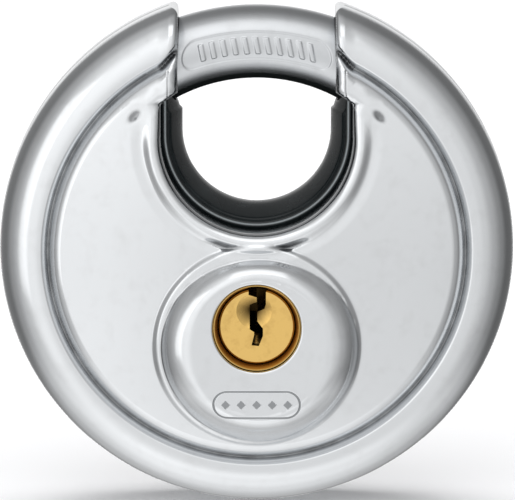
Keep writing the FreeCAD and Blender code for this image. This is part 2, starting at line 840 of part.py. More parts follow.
front_shell()
rear_shell()
opening_liner()
core("front_core", "front_core", "-core_front", "core_front")
core("rear_core", "rear_core", "0", "core_rear")
for number, (screw_x, screw_z) in enumerate(SCREW_PLACES, start=1):
    core_screw(number, screw_x, screw_z)
anti_drill_plate()
cylinder_body()
chamber_cover()
shackle()
fork_plate()
fork_rivet(1, -1)
fork_rivet(2, 1)
plug()
crank()
crank_pin()
plug_clip()
for number, pin_length in enumerate(KEY_PIN_LENGTHS):
    key_pin(number, pin_length)
    driver_pin(number)
    pin_spring(number)

doc.recompute()
for item in doc.Objects:
    if "Invalid" in item.State or "Error" in item.State:
        raise RuntimeError(f"{item.Name} failed: {item.State}")
for piece in nodes:
    if piece.Shape.isNull() or not piece.Shape.isValid():
        raise RuntimeError(f"{piece.Label} has no valid shape")

os.makedirs("parts", exist_ok=True)
for piece in nodes:
    piece.Shape.exportStep(f"parts/{piece.Label}.step")
    print(f"{piece.Label}: {piece.Shape.Volume:.1f} mm3, {len(piece.Shape.Solids)} solid")
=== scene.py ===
import json
import math

import bmesh
import bpy
import numpy as np
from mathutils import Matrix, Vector
from mathutils.geometry import delaunay_2d_cdt


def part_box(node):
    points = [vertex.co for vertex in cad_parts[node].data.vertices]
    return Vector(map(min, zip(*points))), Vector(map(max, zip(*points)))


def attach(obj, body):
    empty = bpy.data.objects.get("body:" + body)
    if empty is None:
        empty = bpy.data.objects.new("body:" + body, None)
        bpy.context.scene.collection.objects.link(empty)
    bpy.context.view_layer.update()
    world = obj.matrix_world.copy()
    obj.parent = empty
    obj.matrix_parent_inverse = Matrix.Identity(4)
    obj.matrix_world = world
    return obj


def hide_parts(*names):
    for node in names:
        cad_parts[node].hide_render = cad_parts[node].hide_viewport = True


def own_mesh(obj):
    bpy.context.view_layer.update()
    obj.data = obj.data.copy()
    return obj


# Looks of the disc padlock. Lengths in this file are millimetres from the middle of
# the disc, x to the right, d towards the viewer (or the back), z up. MM turns them
# into metres, and CENTRE is the middle of the disc in the frame.

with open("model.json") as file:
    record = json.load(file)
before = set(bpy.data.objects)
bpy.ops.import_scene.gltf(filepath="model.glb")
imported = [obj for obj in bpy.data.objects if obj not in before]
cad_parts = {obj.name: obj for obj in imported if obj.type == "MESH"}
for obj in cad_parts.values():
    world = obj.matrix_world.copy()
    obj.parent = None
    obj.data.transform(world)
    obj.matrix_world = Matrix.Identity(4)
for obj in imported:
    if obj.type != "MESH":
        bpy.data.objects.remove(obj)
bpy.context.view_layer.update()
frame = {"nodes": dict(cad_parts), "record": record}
nodes = frame["nodes"]

MM = 0.001
shell_low, shell_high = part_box("rear_shell")
bar_low, bar_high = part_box("shackle")
plug_low, plug_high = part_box("plug")

# The disc and the bar in it. Names that end in _R are radii, in _D depths, in _X and _Z
# places in the disc.
RADIUS = (shell_high.x - shell_low.x) / 2 / MM
BAR = (bar_high.y - bar_low.y) / 2 / MM
BAR_HOLE = BAR + 0.3
RING = 28.0
CENTRE = Vector((0, 0, -RING * MM))
PLUG_Z = ((plug_low.z + plug_high.z) / 2 - CENTRE.z) / MM

# The rolled rim, the groove inside it, and the front's dome and the back's flat.
ROLL_R, ROLL_D = 29.4, 2.45
ROLL = RADIUS - ROLL_R
GROOVE_R, GROOVE_D = 28.4, 6.8
SHOULDER_R, SHOULDER_D, EDGE_R = 27.0, 8.7, 26.4
APEX_D = 11.4
REAR_D, REAR_FLAT = 12.8, 13.0

# The gap: an arch, its legs, a slant in to the collars, and the collars beside the bar.
# LIP_D is the depth of the liner's lip, which the gap's wall goes down to.
ARCH_Z, ARCH_R = 16.1, 13.0
SLANT_Z, COLLAR_X, COLLAR_Z, CORNER = 20.4, 10.7, 22.0, 0.9
LIP_D = 6.4
OUTLINE_STEP = 0.3

# The bead along the gap: where its crest is, how far it falls to the gap's edge, where it
# ends, how far it stands and the dip behind it. It fades out up the arms.
CREST, CREST_FALL, BEAD, BEAD_BACK = 1.3, 1.25, 2.7, 4.2
FRONT_BEAD, REAR_BEAD, BEAD_DIP = 0.55, 0.15, 0.15
FADE_Z, FADE = 14.0, 6.0

# The boss round the lock, its side shoulder, its wall above and below, and its foot.
BOSS_X, BOSS_Z, BOSS_D, BOSS_FLAT = 0.35, -12.05, 14.0, 8.95
BOSS_SHOULDER, BOSS_TURN = 4.5, 4.3
BOSS_WALL_R, BOSS_WALL_SLOPE, BOSS_WALL_ROUND = 10.4, 1.35, 1.6
FOOT_Z, FOOT_R, FOOT_STAND, FOOT_EDGE = -12.3, 14.3, 0.6, 0.9

# Small marks: the dents beside the arms, the hollows beside the bead, the ends of the
# groove, which turn outwards, and the folds down the arms. A line is half width and depth.
DENT_X, DENT_Z, DENT_D = 16.5, 18.9, 0.25
WEDGE_D = 0.35
END_LOW, END_HIGH = (12.95, 25.2), (10.95, 27.5)
END_SHIFT, END_X, END_Z, END_R = 1.25, 13.4, 20.0, 29.8
FOLD_X, FOLD_LOW, FOLD_HIGH, FOLD_BACK = 12.0, 21.2, 25.0, 0.45
FOLD_LINE = (0.16, 0.12)

# The plug's hole, and the engraved pill below it with its lozenges.
HOLE_R, HOLE_ROLL, HOLE_D = 5.95, 0.35, 12.45
PILL_LONG, PILL_HALF, PILL_Z = 5.85, 1.8, -19.75
PILL_LINE = (0.14, 0.09)


# ---------------------------------------------------------------- small helpers

def smooth(t):
    """An easing step from 0 to 1."""
    t = np.clip(t, 0.0, 1.0)
    return t * t * (3 - 2 * t)


def round_over(share):
    """A quarter round that starts level and ends steep."""
    return np.sqrt(np.clip(1 - np.clip(share, 0, 1) ** 2, 0, None))


def soft_min(first, second, width):
    """The smaller value, blended where the two are within a width of each other."""
    share = np.clip(0.5 + 0.5 * (second - first) / width, 0, 1)
    return second + (first - second) * share - width * share * (1 - share) * 0.5


def soft_max(first, second, width):
    return -soft_min(-first, -second, width)


def segment_distance(x, z, start, end):
    run = np.array(end) - np.array(start)
    share = ((x - start[0]) * run[0] + (z - start[1]) * run[1]) / (run @ run)
    share = np.clip(share, 0, 1)
    return np.hypot(x - start[0] - share * run[0], z - start[1] - share * run[1])


def mesh_object(name, points, faces, normals=None):
    """A smooth mesh from points in metres."""
    data = bpy.data.meshes.new(name)
    data.from_pydata([tuple(point) for point in points], [], faces)
    data.update()
    data.polygons.foreach_set("use_smooth", [True] * len(data.polygons))
    if normals is not None:
        data.normals_split_custom_set_from_vertices([tuple(n) for n in normals])
    item = bpy.data.objects.new(name, data)
    bpy.context.scene.collection.objects.link(item)
    return item


def grid_faces(rows, columns, closed=False):
    """Quads of a grid of points that is stored row by row."""
    faces = []
    for row in range(rows - 1):
        for column in range(columns if closed else columns - 1):
            following = (column + 1) % columns
            faces.append((row * columns + column, row * columns + following,
                          (row + 1) * columns + following, (row + 1) * columns + column))
    return faces


# ---------------------------------------------------------------- housing surface

def rim_and_dome(r, front):
    """Depth of the stamped surface, by radius: rolled rim, groove, dome."""
    past_groove, rim_curve, dome_curve, blend = 1.4, 1.7, 2.2, 0.8
    roll = ROLL_D + np.sqrt(np.clip(ROLL ** 2 - (r - ROLL_R) ** 2, 0, None))
    crest = ROLL_D + ROLL
    inward = np.clip((ROLL_R - r) / (ROLL_R - GROOVE_R), 0, past_groove)
    inner_rim = crest - (crest - GROOVE_D) * inward ** rim_curve
    edge = float(dome(np.array(EDGE_R), front))
    outward = np.clip((r - EDGE_R) / (GROOVE_R - EDGE_R), 0, past_groove)
    outer_dome = dome(r, front) - (edge - GROOVE_D) * outward ** dome_curve
    return np.where(r > ROLL_R, roll, soft_max(inner_rim, outer_dome, blend))


def dome(r, front):
    """The front's shallow dome, or the back's flat with its falling edge."""
    if front:
        drop = APEX_D - SHOULDER_D
        ball = (SHOULDER_R ** 2 + drop ** 2) / (2 * drop)
        return APEX_D - ball + np.sqrt(ball ** 2 - np.clip(r, 0, SHOULDER_R) ** 2)
    share = np.clip((r - REAR_FLAT) / (SHOULDER_R - REAR_FLAT), 0, 1)
    return REAR_D - (REAR_D - SHOULDER_D) * share ** 2


def gap_distance(x, z):
    """Distance into the metal from the edge of the gap for the hasp."""
    side = np.abs(x)
    arch = np.hypot(side, z - ARCH_Z) - ARCH_R
    leg = segment_distance(side, z, (ARCH_R, ARCH_Z), (ARCH_R, SLANT_Z))
    slant = segment_distance(side, z, (ARCH_R, SLANT_Z), (COLLAR_X, COLLAR_Z))
    collar = segment_distance(side, z, (COLLAR_X, COLLAR_Z), (COLLAR_X, 2 * RADIUS))
    width = 0.5 + 0.7 * np.minimum(np.minimum(leg, slant), collar)
    straight = soft_min(soft_min(leg, slant, width), collar, width)
    return np.clip(np.where(z < ARCH_Z, arch, straight), 0, None)


def bead(x, z, stand, extra_dip=0.0):
    """How far the rolled edge of the gap stands above (or falls below) the surface."""
    distance = gap_distance(x, z)
    arms = 1 - smooth((z - FADE_Z) / FADE)
    stand, dip = stand * arms, BEAD_DIP * arms + extra_dip
    near = -CREST_FALL + (CREST_FALL + stand) * round_over((CREST - distance) / CREST)
    far = stand - (stand + dip) * smooth((distance - CREST) / (BEAD - CREST))
    back = -dip * (1 - smooth((distance - BEAD) / (BEAD_BACK - BEAD)))
    return np.where(distance < CREST, near, np.where(distance < BEAD, far, back))


def boss(x, z):
    """The raised disc round the lock: round shoulders at its sides, steep above and below."""
    reach = np.hypot(x - BOSS_X, z - BOSS_Z)
    upright = np.abs(z - BOSS_Z) / np.maximum(reach, 0.01)
    over = np.clip(reach - BOSS_FLAT, 0, BOSS_TURN)
    rounded = BOSS_D - BOSS_SHOULDER + np.sqrt(BOSS_SHOULDER ** 2 - over ** 2)
    slope = BOSS_TURN / math.sqrt(BOSS_SHOULDER ** 2 - BOSS_TURN ** 2)
    rounded = rounded - slope * np.clip(reach - BOSS_FLAT - BOSS_TURN, 0, None)
    wall = BOSS_WALL_SLOPE * (reach - BOSS_WALL_R)
    wall = BOSS_D - soft_max(np.zeros_like(reach), wall, BOSS_WALL_ROUND)
    return rounded + (wall - rounded) * upright ** 2


def pill_distance(x, z):
    """Distance from the engraved pill outline below the plug."""
    along = np.clip(x, PILL_HALF - PILL_LONG, PILL_LONG - PILL_HALF)
    return np.abs(np.hypot(x - along, z - PILL_Z) - PILL_HALF)


def in_emblem(x, z):
    """True inside the row of plain lozenges in the pill."""
    pitch, half = 2.1, 0.62
    along = x - pitch * round(max(-2, min(2, x / pitch)))
    return abs(along) + abs(z - PILL_Z) < half


def engraving(distance, width, depth):
    """How far a fine line is sunk, by the distance to its middle."""
    return -depth * np.clip(1 - (distance / width) ** 2, 0, 1)


def groove_reach(x, z):
    """Radius for the rim's profile: the ends of the groove turn outwards beside the bar."""
    r = np.hypot(x, z)
    turned = smooth((END_X - np.abs(x)) / 3.0) * smooth((z - END_Z) / 4.0)
    return r - END_SHIFT * turned * (1 - smooth((r - END_R) / 4.0))


def front_depth(x, z):
    """How far the front of the housing stands out at a place."""
    beyond_foot = smooth((np.hypot(x, z - FOOT_Z) - FOOT_R) / FOOT_EDGE + 1)
    surface = rim_and_dome(groove_reach(x, z), True) + FOOT_STAND * (1 - beyond_foot)
    surface = soft_max(surface, boss(x, z), 0.3)
    surface = surface + bead(x, z, FRONT_BEAD, WEDGE_D * wedge(x, z))
    hole = np.clip((HOLE_ROLL + HOLE_R - np.hypot(x, z - PLUG_Z)) / HOLE_ROLL, 0, 1)
    surface = surface - HOLE_ROLL * (1 - round_over(hole)) - DENT_D * dents(x, z)
    surface = surface + engraving(pill_distance(x, z), *PILL_LINE) - flange(x, z)
    return surface + engraving(fold_distance(x, z), *FOLD_LINE)


def fold_distance(x, z):
    """Distance from the fold down each arm of the gap."""
    return segment_distance(np.abs(x), z, (FOLD_X, FOLD_LOW), (FOLD_X, FOLD_HIGH))


def flange(x, z):
    """How far the strip between the fold and the collar's edge is bent back."""
    upright = smooth((z - FOLD_LOW + 0.5) / 1.0) * (1 - smooth((z - FOLD_HIGH - 0.5) / 1.5))
    return FOLD_BACK * np.clip((FOLD_X - np.abs(x)) / (FOLD_X - COLLAR_X), 0, 1) * upright


def wedge(x, z):
    """The pointed hollows left and right of where the boss touches the bead."""
    beyond, distance = np.hypot(x, z - FOOT_Z) - FOOT_R, gap_distance(x, z)
    share = smooth((2.3 - beyond) / 1.5) * smooth((beyond + 0.7) / 0.5)
    share = share * smooth((np.abs(x) - 0.5) / 1.5)
    return share * smooth((distance - 1.4) / 0.5) * (1 - smooth((distance - 2.3) / 0.6))


def dents(x, z):
    """A small dent beside each arm of the gap, longer along the rim than across."""
    across = (np.abs(x) - DENT_X + z - DENT_Z) / 0.6
    along = (np.abs(x) - DENT_X - z + DENT_Z) / 1.1
    return np.exp(-across ** 2 - along ** 2)


def groove_end_shade(x, z):
    """Painted shade in the ends of the groove, beside the bar."""
    return 1 - smooth((segment_distance(np.abs(x), z, END_LOW, END_HIGH) - 0.15) / 0.35)


def rear_depth(x, z):
    """How far the back of the housing stands out at a place."""
    return rim_and_dome(groove_reach(x, z), False) + bead(x, z, REAR_BEAD)


def collar_corner(corner):
    """Middle of the round that joins the collar's edge to the rim."""
    across = COLLAR_X + corner
    return across, math.sqrt((RADIUS - corner) ** 2 - across ** 2)


def gap_outline(corner):
    """Points along the gap's edge, from the rim on the left to the rim on the right."""
    across, high = collar_corner(corner)
    corners = [(-COLLAR_X, high), (-COLLAR_X, COLLAR_Z), (-ARCH_R, SLANT_Z), (-ARCH_R, ARCH_Z)]
    turn = np.linspace(math.atan2(high, -across), 0, 9)[:-1] if corner else []
    left = [(corner * math.cos(a) - across, corner * math.sin(a) + high) for a in turn]
    for start, end in zip(corners, corners[1:]):
        count = max(2, round(math.dist(start, end) / OUTLINE_STEP))
        left += [(start[0] + (end[0] - start[0]) * k / count,
                  start[1] + (end[1] - start[1]) * k / count) for k in range(count)]
    count = round(math.pi * ARCH_R / OUTLINE_STEP)
    angles = [math.pi + math.pi * k / count for k in range(count + 1)]
    arch = [(ARCH_R * math.cos(a), ARCH_Z + ARCH_R * math.sin(a)) for a in angles]
    right = [(-x, z) for x, z in reversed(left)]
    return np.array(left + arch + right)


def ring(radius, count, centre=(0.0, 0.0), phase=0.0):
    """Evenly spaced points of a circle."""
    angles = (np.arange(count) + phase) * 2 * math.pi / count
    return np.column_stack((centre[0] + radius * np.cos(angles),
                            centre[1] + radius * np.sin(angles)))


def filler(step, low, high):
    """An even triangular field of points."""
    rows = []
    for row, z in enumerate(np.arange(low, high, step * 0.866)):
        x = np.arange(low, high, step) + (step / 2 if row % 2 else 0)
        rows.append(np.column_stack((x, np.full(len(x), z))))
    return np.concatenate(rows)


def rim_outline(edge):
    """Points round the rim, clockwise from the gap's right end to its left end."""
    step = 0.5
    start = math.atan2(edge[-1][0], edge[-1][1])
    span = 2 * math.pi - 2 * start
    count = round(span * RADIUS / step)
    angles = start + span * np.arange(1, count) / count
    return np.column_stack((RADIUS * np.sin(angles), RADIUS * np.cos(angles)))


# Rows of points along the gap's edge, by their distance from it. NEAR_EDGE is where they
# give way to the rings and the even fields.
EDGE_ROWS = (0.03, 0.12, 0.26, 0.45, 0.7, 0.95, 1.15, 1.3, 1.45, 1.6, 1.8, 2.0, 2.2, 2.4,
             2.6, 2.8, 3.0, 3.3, 3.6, 3.9, 4.2)
NEAR_EDGE = 4.3


def plan_points(front):
    """Points inside the outline, in rows that follow the rim, groove, bead and boss."""
    groups = [rim_rings(front), end_points(), dome_points(front)] + edge_rows(front)
    if front:
        field = filler(0.2, -1.8, 1.8)
        groups += [field + (side * DENT_X, DENT_Z) for side in (-1, 1)]
        groups += boss_points()
    points = np.concatenate(groups)
    inside = np.hypot(*points.T) < RADIUS - 0.01
    inside &= ~in_gap(points)
    return points[inside]


def rim_rings(front):
    """Rings of points over the rolled rim and the groove, close together in the groove."""
    turn = np.radians(np.concatenate(([6, 12, 18], np.arange(25, 91, 6.5))))
    radii = list(ROLL_R + ROLL * np.cos(turn))
    radii += list(np.arange(EDGE_R, ROLL_R, 0.2)) + [EDGE_R - 0.5, EDGE_R - 1]
    radii += [GROOVE_R - 0.1, GROOVE_R + 0.1]
    close, wide = 800, 460
    rings = np.concatenate([ring(r, close if EDGE_R - 0.1 < r < ROLL_R + 0.1 else wide)
                            for r in radii])
    free = gap_distance(*rings.T) > np.where(beside_groove(rings), 1.6, NEAR_EDGE)
    free &= ~beside_end(rings)
    return rings[free & ~(front & beside_dent(rings))]


def end_points():
    """A close field over the ends of the groove and the folds."""
    field = filler(0.16, -31, 31)
    return field[beside_end(field) & (gap_distance(*field.T) > 0.35)]


def dome_points(front):
    """An even field over the dome, clear of the boss and the dents."""
    field = filler(0.75, -26, 26)
    free = np.hypot(*field.T) < EDGE_R - 1.4
    free &= gap_distance(*field.T) > NEAR_EDGE
    if front:
        free &= np.hypot(field[:, 0], field[:, 1] - FOOT_Z) > FOOT_R + 0.8
        free &= ~beside_dent(field)
    return field[free]


def edge_rows(front):
    """Rows along the gap's edge, thinned out where a closer field takes over."""
    edge = gap_outline(0.0)
    beyond = into_metal(edge)
    rows = []
    for reach in EDGE_ROWS:
        row = edge + beyond * reach
        held = (np.abs(gap_distance(*row.T) - reach) < 0.12) & (np.hypot(*row.T) < RADIUS - 0.02)
        crowded = beside_groove(row) | front & (beside_bead(row) | beside_dent(row))
        held &= ~crowded | (reach < 1.5)
        held &= ~beside_end(row) | (reach < 0.3)
        rows.append(row[held])
    return rows


def into_metal(edge):
    """Unit directions from the gap's edge into the metal."""
    tangent = np.gradient(edge, axis=0)
    tangent /= np.linalg.norm(tangent, axis=1)[:, None]
    return np.column_stack((tangent[:, 1], -tangent[:, 0]))


def beside_groove(points):
    return np.abs(np.hypot(*points.T) - GROOVE_R) < 1.25


def beside_end(points):
    """True beside the ends of the groove and along the fold in each arm's edge."""
    x, z = np.abs(points[:, 0]), points[:, 1]
    groove_end = (z > 0) & (x < 14.6) & (np.abs(np.hypot(x, z) - 28.9) < 1.9)
    return groove_end | (np.abs(x - FOLD_X) < 0.6) & (z > FOLD_LOW - 0.4) & (z < 28.0)


def beside_dent(points):
    return (np.abs(np.abs(points[:, 0]) - DENT_X) < 1.9) & (np.abs(points[:, 1] - DENT_Z) < 1.9)


def beside_bead(points):
    """True where the boss meets the bead under the gap."""
    return (np.abs(points[:, 0]) < 9.5) & (np.abs(points[:, 1] - 0.6) < 2.9)


def in_gap(points):
    """True for points in the gap itself."""
    x, z = np.abs(points[:, 0]), points[:, 1]
    half = np.interp(z, (SLANT_Z, COLLAR_Z), (ARCH_R, COLLAR_X))
    low = ARCH_Z - np.sqrt(np.clip(ARCH_R ** 2 - x ** 2, 0, None))
    across, high = collar_corner(CORNER)
    cut = (x < across) & (z > high) & (np.hypot(x - across, z - high) > CORNER + 0.005)
    return (x < half - 0.005) & (z > low + 0.005) & (x < ARCH_R) | cut


def boss_points():
    """Rows round the boss, round the plug's hole and along the engraved pill."""
    groups = [ring(reach, 230, (0, FOOT_Z)) for reach in np.arange(8.5, FOOT_R + 0.7, 0.2)]
    field = filler(0.6, -26, 26)
    groups.append(field[np.hypot(field[:, 0], field[:, 1] - FOOT_Z) < 8.3])
    points = np.concatenate(groups)
    clear = (gap_distance(*points.T) > NEAR_EDGE) & ~beside_bead(points)
    clear &= np.hypot(points[:, 0], points[:, 1] - PLUG_Z) > HOLE_R + 1.1
    clear &= pill_distance(*points.T) > 0.3
    meeting = filler(0.18, -12, 12)
    rows = [points[clear], meeting[beside_bead(meeting) & (gap_distance(*meeting.T) > 1.5)]]
    for reach in (0.02, 0.06, 0.12, 0.2, 0.28, 0.36, 0.55, 0.9):
        rows.append(ring(HOLE_R + reach, 150, (0, PLUG_Z)))
    emblem = filler(0.14, -5.0, 5.0)
    rows.append(emblem[np.abs(emblem[:, 1]) < 0.8] + (0, PILL_Z))
    for shift in (-0.22, -0.14, -0.07, 0, 0.07, 0.14, 0.22):
        outline = ring(PILL_HALF + shift, 64, phase=0.5)
        outline[:, 0] += np.sign(outline[:, 0]) * (PILL_LONG - PILL_HALF)
        straight = np.linspace(-PILL_LONG + PILL_HALF, PILL_LONG - PILL_HALF, 40)
        for side in (-1, 1):
            level = np.full(40, side * (PILL_HALF + shift))
            outline = np.concatenate((outline, np.column_stack((straight, level))))
        rows.append(outline + (0, PILL_Z))
    return rows


def surface_normals(points, depth):
    """Outward normals of a depth function, from small steps in x and z."""
    step = 0.01
    x, z = points[:, 0], points[:, 1]
    slope_x = (depth(x + step, z) - depth(x - step, z)) / (2 * step)
    slope_z = (depth(x, z + step) - depth(x, z - step)) / (2 * step)
    normals = np.column_stack((-slope_x, -np.ones(len(x)), -slope_z))
    return normals / np.linalg.norm(normals, axis=1)[:, None]


def hollowness(points, depth, front):
    """How sharply the surface is hollowed: where shade is painted."""
    step, sharpest, strongest = 0.3, 9.0, 0.65
    x, z = points[:, 0], points[:, 1]
    around = depth(x + step, z) + depth(x - step, z) + depth(x, z + step) + depth(x, z - step)
    hollow = strongest * smooth((around - 4 * depth(x, z)) / step ** 2 / sharpest)
    hollow = np.maximum(hollow, groove_end_shade(x, z))
    if front:
        hollow = np.maximum(hollow, np.maximum(wedge(x, z), smooth(2.4 * dents(x, z))))
        hollow = np.maximum(hollow, 0.6 * (1 - smooth((fold_distance(x, z) - 0.02) / 0.16)))
    return hollow


# The seam between the two halves, the hem behind the gap's wall, the depth below which
# the outside gets no painted shade, and the height from which the gap has no metal across it.
SEAM, SEAM_INSET, HEM, HOLLOW_SHADE_D, GAP_TOP = 0.25, 0.9965, 1.3, 6.0, 33.6


def stamped_face(front):
    """The outside of one stamped half: points, normals, triangles, outlines and painted shade."""
    depth = front_depth if front else rear_depth
    edge = gap_outline(CORNER)
    loops = [np.concatenate((edge, rim_outline(edge)))]
    if front:
        loops.append(ring(HOLE_R, 150, (0, PLUG_Z)))
    fixed, borders = [], []
    for loop in loops:
        base = sum(len(other) for other in fixed)
        fixed.append(loop)
        borders += [(base + k, base + (k + 1) % len(loop)) for k in range(len(loop))]
    plan = np.concatenate(fixed + [plan_points(front)])
    result = delaunay_2d_cdt([Vector(point) for point in plan], borders, [], 0, 1e-6)
    flat = np.array([tuple(point) for point in result[0]])
    triangles = np.array([tuple(face) for face in result[2]])
    middle = flat[triangles].mean(axis=1)
    kept = (np.hypot(*middle.T) < RADIUS) & ~in_gap(middle)
    kept &= (middle[:, 1] < GAP_TOP) | (np.abs(middle[:, 0]) > COLLAR_X)
    if front:
        kept &= np.hypot(middle[:, 0], middle[:, 1] - PLUG_Z) > HOLE_R * 0.9995
    side = -1 if front else 1
    points = np.column_stack((flat[:, 0], side * depth(flat[:, 0], flat[:, 1]), flat[:, 1]))
    normals = surface_normals(flat, depth)
    normals[:, 1] *= -side
    return points, normals, triangles[kept], loops, hollowness(flat, depth, front)


def wall_end(x, z):
    """How deep the gap's wall reaches: to the liner, or to the hole round the bar."""
    from_bar = BAR_HOLE ** 2 - (np.hypot(x, z) - RING) ** 2
    hole = np.sqrt(np.clip(from_bar, 0, None))
    return np.where(z > COLLAR_Z - 0.01, hole, LIP_D)


def build_shell(name, front):
    """One stamped half: its outside, its side, the wall of its gap and the plug's hole."""
    points, normals, triangles, loops, hollow = stamped_face(front)
    side = -1 if front else 1
    order = (0, 1, 2) if front else (0, 2, 1)
    faces = [tuple(int(face[k]) for k in order) for face in triangles]
    points, normals = list(points), list(normals)
    outer = len(loops[0])
    edge = gap_outline(CORNER)
    edge_count = len(edge)

    def add_row(row_points, row_normals):
        start = len(points)
        points.extend(row_points)
        normals.extend(row_normals)
        return list(range(start, start + len(row_points)))

    def join(first, second, closed=False):
        count = len(first)
        for k in range(count if closed else count - 1):
            n = (k + 1) % count
            face = (first[k], first[n], second[n], second[k])
            faces.append(face if front else face[::-1])

    rim = list(range(edge_count - 1, outer)) + [0]
    out = [np.array((points[k][0], 0, points[k][2])) / RADIUS for k in rim]
    top = add_row([points[k] for k in rim], out)
    seam = add_row([points[k] * (1, 0, 1) + (0, side * SEAM, 0) for k in rim], out)
    turned = [n + np.array((0, -side, 0)) for n in out]
    weld = add_row([points[k] * (SEAM_INSET, 0, SEAM_INSET) for k in rim], turned)
    join(top, seam)
    join(seam, weld)

    inward = -into_metal(edge)
    facing = [np.array((n[0], 0, n[1])) for n in inward]
    wall_top = add_row([points[k] for k in range(edge_count)], facing)
    ends = wall_end(edge[:, 0], edge[:, 1])
    for share in (0.5, 1.0):
        row = []
        for k, (x, z) in enumerate(edge):
            high = abs(points[k][1])
            low = min(ends[k], high)
            row.append(np.array((x, side * (high + (low - high) * share), z)))
        below = add_row(row, facing)
        join(wall_top, below)
        wall_top = below
    inner = edge - inward * HEM
    inner[:, 1] = np.minimum(inner[:, 1], np.sqrt((RADIUS - 0.3) ** 2 - inner[:, 0] ** 2))
    away = [np.array((0, -side, 0))] * edge_count
    hem = add_row([np.array((inner[k][0], points[wall_top[k]][1], inner[k][1]))
                   for k in range(edge_count)], away)
    join(add_row([points[k] for k in wall_top], away), hem)

    if front:
        hole = list(range(outer, outer + len(loops[1])))
        away = [np.array((-points[k][0], 0, PLUG_Z - points[k][2])) / HOLE_R for k in hole]
        top = add_row([points[k] for k in hole], away)
        low = add_row([points[k] * (1, 0, 1) - (0, HOLE_D, 0) for k in hole], away)
        join(low, top, closed=True)
    item = mesh_object(name, [Vector(p) * MM + CENTRE for p in points], faces, normals)
    # Painted shade for the hollows of the outside, kept as a point attribute for the material.
    painted_shade = np.zeros(len(points))
    face_points = np.array(points)[:len(hollow)]
    painted_shade[:len(hollow)] = hollow * (np.abs(face_points[:, 1]) > HOLLOW_SHADE_D)
    item.data.attributes.new("painted_shade", "FLOAT", "POINT").data.foreach_set("value", painted_shade)
    return item


def mark_etching(item):
    """Give the faces of the etched marks the second look of the piece."""
    for face in item.data.polygons:
        middle = (face.center - CENTRE) / MM
        etched = pill_distance(middle.x, middle.z) < 0.15 or in_emblem(middle.x, middle.z)
        face.material_index = 1 if etched and middle.y < -APEX_D else 0


# ---------------------------------------------------------------- shackle

# The stamped panel and its ribs: half length, half height, depth, and the ribs' field.
PANEL_LONG, PANEL_HALF, PANEL_DEEP = 10.35, 1.9, 0.22
RIB_PITCH, RIB_SLANT, RIB_LONG, RIB_HALF, RIB_TOP = 1.5, 0.2, 8.3, 1.3, 0.06
# Degrees round the disc: where the bar's free end is, how far it runs, the close rings
# beside its panel, and the flat behind it for the fork plate.
FREE_ANGLE, BAR_SWEEP, PANEL_ANGLE = 36.5, 236.5, 22.6
FORK_AZIMUTH, FORK_REACH, FORK_FLAT = 150.0, 17.1, 4.4
END_ROUND = 1.5


def panel_sink(along, across):
    """Depth of the stamped panel on the bar, with a row of raised slanting ribs."""
    inside = np.clip(along, PANEL_HALF - PANEL_LONG, PANEL_LONG - PANEL_HALF)
    edge = np.hypot(along - inside, across) - PANEL_HALF
    sink = PANEL_DEEP * smooth(0.5 - edge / 0.22)
    wave = (along + RIB_SLANT * across) / RIB_PITCH
    rib = smooth(1.6 - 5.0 * np.abs(wave - np.round(wave)))
    field = smooth((RIB_HALF - np.abs(across)) / 0.25) * smooth((RIB_LONG - np.abs(along)) / 0.25)
    return sink - (PANEL_DEEP - RIB_TOP) * rib * field


def bar_angles():
    """Azimuths of the bar's rings: close together where the panel is."""
    fine = np.arange(-PANEL_ANGLE, PANEL_ANGLE + 0.01, 0.2)
    before = np.linspace(-FREE_ANGLE, -PANEL_ANGLE, 8)[:-1]
    after = np.linspace(PANEL_ANGLE, BAR_SWEEP - FREE_ANGLE, 90)[1:]
    return np.concatenate((before, fine, after))


def section_angles():
    """Angles round the bar from the front: close together across the panel."""
    fine = np.arange(-30, 30.1, 1.25)
    return np.concatenate((fine, np.arange(35, 326, 5.0)))


def bar_point(azimuth, around, radius):
    """A point of the bar in disc millimetres: x, y to the back, z up."""
    reach = RING + radius * math.sin(around)
    return np.array((reach * math.sin(azimuth), -radius * math.cos(around),
                     reach * math.cos(azimuth)))


def bar_rows():
    """Azimuth of each ring of the bar, and how much smaller its rounded ends are."""
    azimuths = np.radians(bar_angles())
    turns = [math.radians(90 - t) for t in (0, 22, 44, 66)]
    first = [(azimuths[0] + END_ROUND * (1 - math.sin(t)) / RING, END_ROUND * (1 - math.cos(t)))
             for t in turns]
    last = [(azimuths[-1] - (a - azimuths[0]), shrink) for a, shrink in reversed(first)]
    start_clear, end_clear = first[-1][0] + 0.012, last[0][0] - 0.012
    return first + [(a, 0.0) for a in azimuths if start_clear < a < end_clear] + last


def build_bar():
    """The shackle's bar, with the panel in front and the fork's flat behind."""
    around = np.radians(section_angles())
    points = []
    rows = bar_rows()
    for azimuth, shrink in rows:
        near_fork = abs(math.degrees(azimuth) - FORK_AZIMUTH) < FORK_REACH
        for angle in around:
            radius = BAR - shrink
            in_front = abs(azimuth) < 0.42 and math.cos(angle) > 0.8
            if in_front:
                along = azimuth * (RING + BAR * math.sin(angle))
                radius -= float(panel_sink(along, BAR * math.sin(angle)))
            point = bar_point(azimuth, angle, radius)
            if near_fork and point[1] > FORK_FLAT:
                point[1] = FORK_FLAT
            points.append(point)
    faces = grid_faces(len(rows), len(around), closed=True)
    for ring_start, flip in ((0, True), ((len(rows) - 1) * len(around), False)):
        face = tuple(range(ring_start, ring_start + len(around)))
        faces.append(face if flip else face[::-1])
    item = mesh_object("shackle_bar", [Vector(p) * MM + CENTRE for p in points], faces)
    fix_outward(item)
    item.data.polygons[-1].use_smooth = False
    item.data.polygons[-2].use_smooth = False
    return item


def fix_outward(item):
    """Make all faces of a closed mesh point outwards."""
    work = bmesh.new()
    work.from_mesh(item.data)
    bmesh.ops.recalc_face_normals(work, faces=work.faces)
    work.to_mesh(item.data)
    work.free()


# ---------------------------------------------------------------- liner

